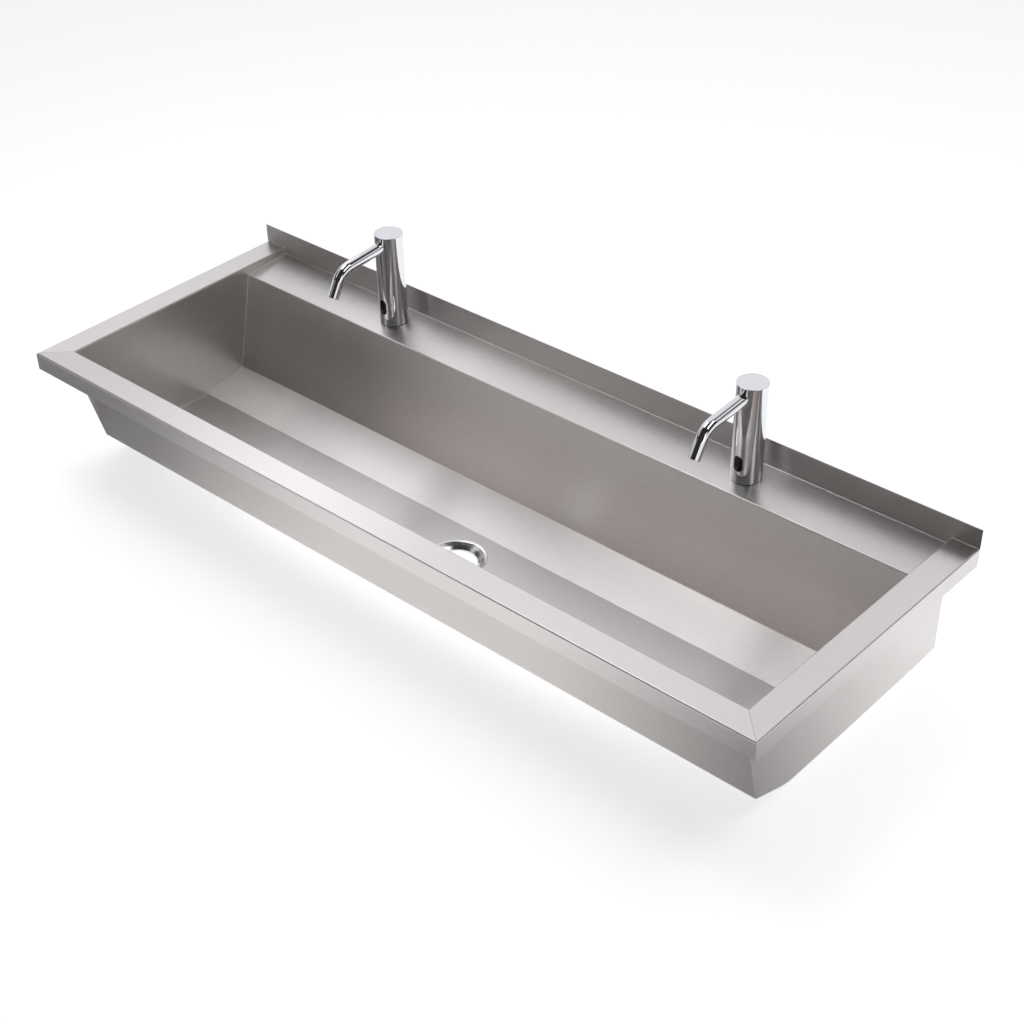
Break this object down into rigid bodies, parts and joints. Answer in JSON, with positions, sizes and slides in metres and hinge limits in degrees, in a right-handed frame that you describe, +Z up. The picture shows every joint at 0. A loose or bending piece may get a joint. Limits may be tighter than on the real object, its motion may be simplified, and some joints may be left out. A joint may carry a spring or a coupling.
{
  "type": "trough sink",
  "caption": "Wall-hung wash trough in folded satin stainless sheet, with a rear tap ledge, an upstand, a waste outlet in the floor and chrome sensor taps.",
  "frame": {"origin": "on the wall plane, at mid length, level with the top of the rim", "axes": "+X along the trough, +Y into the wall, +Z up"},
  "size_m": [1.5, 0.535, 0.3715],
  "materials": {
    "satin_steel": "satin, brushed along the trough",
    "polished_steel": "polished",
    "bracket_steel": "dull mill finish",
    "fastener_steel": "plain",
    "tap_chrome": "mirror",
    "window_black": "gloss",
    "module_case": "matte",
    "seal_rubber": "matte",
    "valve_brass": "machined",
    "valve_steel": "machined",
    "coil_case": "matte",
    "valve_plastic": "matte"
  },
  "bodies": {
    "trough": {"front_panel": "satin_steel", "floor_panel": "satin_steel", "back_panel": "satin_steel", "left_end_panel": "satin_steel", "right_end_panel": "satin_steel", "left_side_rim": "satin_steel", "right_side_rim": "satin_steel", "waste_ring": "polished_steel", "left_wall_bracket": "bracket_steel", "right_wall_bracket": "bracket_steel", "bracket_studs": "fastener_steel", "bracket_nuts": "fastener_steel", "left_tap_body": "tap_chrome", "left_tap_cap": "tap_chrome", "left_cap_seal": "seal_rubber", "left_spout": "tap_chrome", "left_aerator": "valve_plastic", "left_sensor_window": "window_black", "left_sensor_module": "module_case", "left_outlet_elbow": "valve_brass", "left_riser_tube": "valve_brass", "left_valve_block": "valve_brass", "left_valve_bonnet": "valve_steel", "left_diaphragm": "seal_rubber", "left_plunger_spring": "valve_steel", "left_solenoid_coil": "coil_case", "left_shank": "valve_brass", "left_base_gasket": "seal_rubber", "left_rubber_washer": "seal_rubber", "left_clamp_washer": "fastener_steel", "left_fixing_nut": "valve_brass", "left_inlet_tube": "valve_brass", "left_inlet_filter": "valve_plastic", "left_lead_grommet": "seal_rubber", "right_tap_body": "tap_chrome", "right_tap_cap": "tap_chrome", "right_cap_seal": "seal_rubber", "right_spout": "tap_chrome", "right_aerator": "valve_plastic", "right_sensor_window": "window_black", "right_sensor_module": "module_case", "right_outlet_elbow": "valve_brass", "right_riser_tube": "valve_brass", "right_valve_block": "valve_brass", "right_valve_bonnet": "valve_steel", "right_diaphragm": "seal_rubber", "right_plunger_spring": "valve_steel", "right_solenoid_coil": "coil_case", "right_shank": "valve_brass", "right_base_gasket": "seal_rubber", "right_rubber_washer": "seal_rubber", "right_clamp_washer": "fastener_steel", "right_fixing_nut": "valve_brass", "right_inlet_tube": "valve_brass", "right_inlet_filter": "valve_plastic", "right_lead_grommet": "seal_rubber"},
    "left_plunger_body": {"left_plunger": "valve_steel"},
    "left_diaphragm_core_body": {"left_diaphragm_core": "valve_plastic"},
    "right_plunger_body": {"right_plunger": "valve_steel"},
    "right_diaphragm_core_body": {"right_diaphragm_core": "valve_plastic"}
  },
  "joints": [
    {"name": "left_plunger_slide", "type": "slide", "parent": "trough", "child": "left_plunger_body", "axis": [0, 0, 1], "range_m": [0, 0.002], "stiffness_N_per_m": 300, "springref_m": -0.002, "deforming": ["left_plunger_spring"]},
    {"name": "left_core_slide", "type": "slide", "parent": "trough", "child": "left_diaphragm_core_body", "axis": [0, 0, 1], "range_m": [0, 0.0015], "deforming": ["left_diaphragm"]},
    {"name": "right_plunger_slide", "type": "slide", "parent": "trough", "child": "right_plunger_body", "axis": [0, 0, 1], "range_m": [0, 0.002], "stiffness_N_per_m": 300, "springref_m": -0.002, "deforming": ["right_plunger_spring"]},
    {"name": "right_core_slide", "type": "slide", "parent": "trough", "child": "right_diaphragm_core_body", "axis": [0, 0, 1], "range_m": [0, 0.0015], "deforming": ["right_diaphragm"]}
  ],
  "couplings": [
    {"joint": "left_core_slide", "follows": "left_plunger_slide", "ratio": 0.75},
    {"joint": "right_core_slide", "follows": "right_plunger_slide", "ratio": 0.75}
  ]
}
